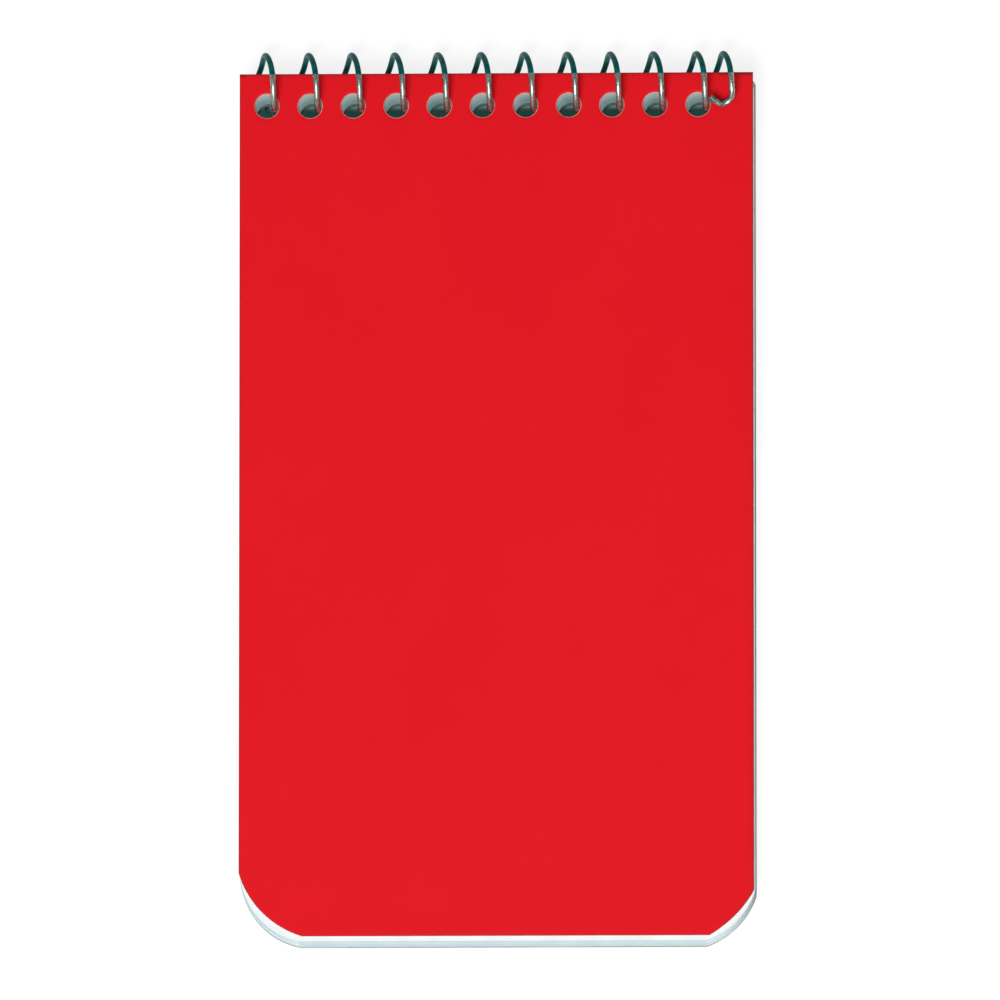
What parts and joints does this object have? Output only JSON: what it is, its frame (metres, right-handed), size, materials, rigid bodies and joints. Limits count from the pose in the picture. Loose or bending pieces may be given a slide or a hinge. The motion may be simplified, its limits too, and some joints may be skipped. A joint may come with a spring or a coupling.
{
  "type": "pocket notebook",
  "caption": "Top-bound pocket memo pad: red card front cover, ruled paper sheets and a grey chipboard back, all turning on one spiral of steel wire with bent-in ends.",
  "frame": {"origin": "centre of the bounding box in X and Y, level in Z with the underside of the spiral, on which the pad rests", "axes": "+Z out of the front cover, +Y from the free bottom edge towards the spiral, +X across the page to the reader's right"},
  "size_m": [0.0764, 0.1334, 0.0097],
  "materials": {
    "red_card": "satin coated",
    "white_paper": "matte, ruled",
    "grey_board": "matte, fibrous",
    "steel_wire": "drawn and lightly lacquered"
  },
  "bodies": {
    "back": {"back_cover": "grey_board", "spiral_wire": "steel_wire"},
    "sheets_46_50": {"sheet_50": "white_paper", "sheet_49": "white_paper", "sheet_48": "white_paper", "sheet_47": "white_paper", "sheet_46": "white_paper"},
    "sheets_41_45": {"sheet_45": "white_paper", "sheet_44": "white_paper", "sheet_43": "white_paper", "sheet_42": "white_paper", "sheet_41": "white_paper"},
    "sheets_36_40": {"sheet_40": "white_paper", "sheet_39": "white_paper", "sheet_38": "white_paper", "sheet_37": "white_paper", "sheet_36": "white_paper"},
    "sheets_31_35": {"sheet_35": "white_paper", "sheet_34": "white_paper", "sheet_33": "white_paper", "sheet_32": "white_paper", "sheet_31": "white_paper"},
    "sheets_26_30": {"sheet_30": "white_paper", "sheet_29": "white_paper", "sheet_28": "white_paper", "sheet_27": "white_paper", "sheet_26": "white_paper"},
    "sheets_21_25": {"sheet_25": "white_paper", "sheet_24": "white_paper", "sheet_23": "white_paper", "sheet_22": "white_paper", "sheet_21": "white_paper"},
    "sheets_16_20": {"sheet_20": "white_paper", "sheet_19": "white_paper", "sheet_18": "white_paper", "sheet_17": "white_paper", "sheet_16": "white_paper"},
    "sheets_11_15": {"sheet_15": "white_paper", "sheet_14": "white_paper", "sheet_13": "white_paper", "sheet_12": "white_paper", "sheet_11": "white_paper"},
    "sheets_06_10": {"sheet_10": "white_paper", "sheet_09": "white_paper", "sheet_08": "white_paper", "sheet_07": "white_paper", "sheet_06": "white_paper"},
    "leaf_05": {"sheet_05": "white_paper"},
    "leaf_04": {"sheet_04": "white_paper"},
    "leaf_03": {"sheet_03": "white_paper"},
    "leaf_02": {"sheet_02": "white_paper"},
    "leaf_01": {"sheet_01": "white_paper"},
    "cover": {"front_cover": "red_card"}
  },
  "joints": [
    {"name": "turn_sheets_46_50", "type": "hinge", "parent": "back", "child": "sheets_46_50", "pos_m": [0, 0.06184, 0.00483], "axis": [-1, 0, 0], "range_deg": [0, 180]},
    {"name": "turn_sheets_41_45", "type": "hinge", "parent": "sheets_46_50", "child": "sheets_41_45", "pos_m": [0, 0.06184, 0.00483], "axis": [-1, 0, 0], "range_deg": [0, 180]},
    {"name": "turn_sheets_36_40", "type": "hinge", "parent": "sheets_41_45", "child": "sheets_36_40", "pos_m": [0, 0.06184, 0.00483], "axis": [-1, 0, 0], "range_deg": [0, 180]},
    {"name": "turn_sheets_31_35", "type": "hinge", "parent": "sheets_36_40", "child": "sheets_31_35", "pos_m": [0, 0.06184, 0.00483], "axis": [-1, 0, 0], "range_deg": [0, 180]},
    {"name": "turn_sheets_26_30", "type": "hinge", "parent": "sheets_31_35", "child": "sheets_26_30", "pos_m": [0, 0.06184, 0.00483], "axis": [-1, 0, 0], "range_deg": [0, 180]},
    {"name": "turn_sheets_21_25", "type": "hinge", "parent": "sheets_26_30", "child": "sheets_21_25", "pos_m": [0, 0.06184, 0.00483], "axis": [-1, 0, 0], "range_deg": [0, 180]},
    {"name": "turn_sheets_16_20", "type": "hinge", "parent": "sheets_21_25", "child": "sheets_16_20", "pos_m": [0, 0.06184, 0.00483], "axis": [-1, 0, 0], "range_deg": [0, 180]},
    {"name": "turn_sheets_11_15", "type": "hinge", "parent": "sheets_16_20", "child": "sheets_11_15", "pos_m": [0, 0.06184, 0.00483], "axis": [-1, 0, 0], "range_deg": [0, 180]},
    {"name": "turn_sheets_06_10", "type": "hinge", "parent": "sheets_11_15", "child": "sheets_06_10", "pos_m": [0, 0.06184, 0.00483], "axis": [-1, 0, 0], "range_deg": [0, 180]},
    {"name": "turn_leaf_05", "type": "hinge", "parent": "sheets_06_10", "child": "leaf_05", "pos_m": [0, 0.06184, 0.00483], "axis": [-1, 0, 0], "range_deg": [0, 180]},
    {"name": "turn_leaf_04", "type": "hinge", "parent": "leaf_05", "child": "leaf_04", "pos_m": [0, 0.06184, 0.00483], "axis": [-1, 0, 0], "range_deg": [0, 180]},
    {"name": "turn_leaf_03", "type": "hinge", "parent": "leaf_04", "child": "leaf_03", "pos_m": [0, 0.06184, 0.00483], "axis": [-1, 0, 0], "range_deg": [0, 180]},
    {"name": "turn_leaf_02", "type": "hinge", "parent": "leaf_03", "child": "leaf_02", "pos_m": [0, 0.06184, 0.00483], "axis": [-1, 0, 0], "range_deg": [0, 180]},
    {"name": "turn_leaf_01", "type": "hinge", "parent": "leaf_02", "child": "leaf_01", "pos_m": [0, 0.06184, 0.00483], "axis": [-1, 0, 0], "range_deg": [0, 180]},
    {"name": "open_cover", "type": "hinge", "parent": "leaf_01", "child": "cover", "pos_m": [0, 0.06184, 0.00483], "axis": [-1, 0, 0], "range_deg": [0, 180]}
  ]
}
